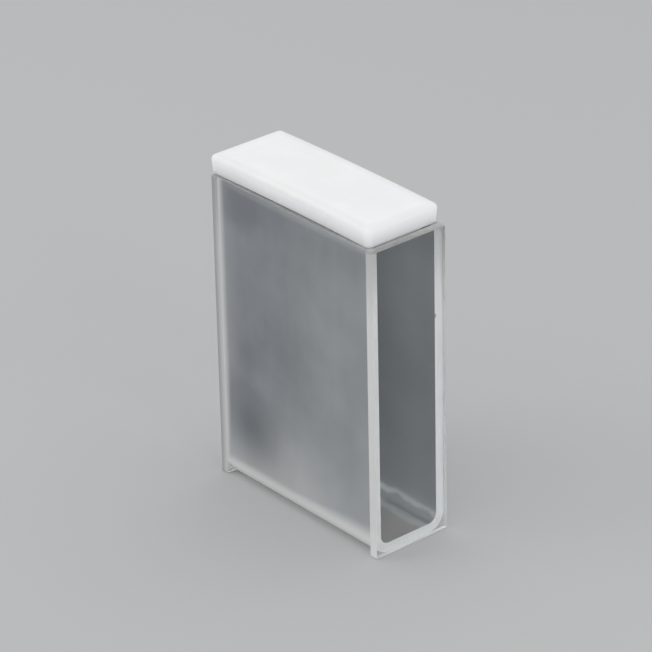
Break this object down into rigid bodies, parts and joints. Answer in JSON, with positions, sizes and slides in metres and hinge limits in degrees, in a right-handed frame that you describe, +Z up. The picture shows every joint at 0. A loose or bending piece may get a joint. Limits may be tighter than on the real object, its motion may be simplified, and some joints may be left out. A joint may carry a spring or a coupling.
{
  "type": "cuvette",
  "caption": "Rectangular sample cell with frosted glass sides, clear end windows and a loose white lid resting on its rim.",
  "frame": {"origin": "on the standing surface, under the middle of the base", "axes": "+Z up; +X along the light path towards the front window; +Y across the cell"},
  "size_m": [0.033, 0.0126, 0.0479],
  "materials": {
    "frosted_glass": "ground, frosted",
    "clear_glass": "polished",
    "white_ptfe": "smooth, waxy white"
  },
  "bodies": {
    "root": {"frosted_trough": "frosted_glass", "front_window": "clear_glass", "rear_window": "clear_glass", "lid": "white_ptfe"}
  },
  "joints": []
}
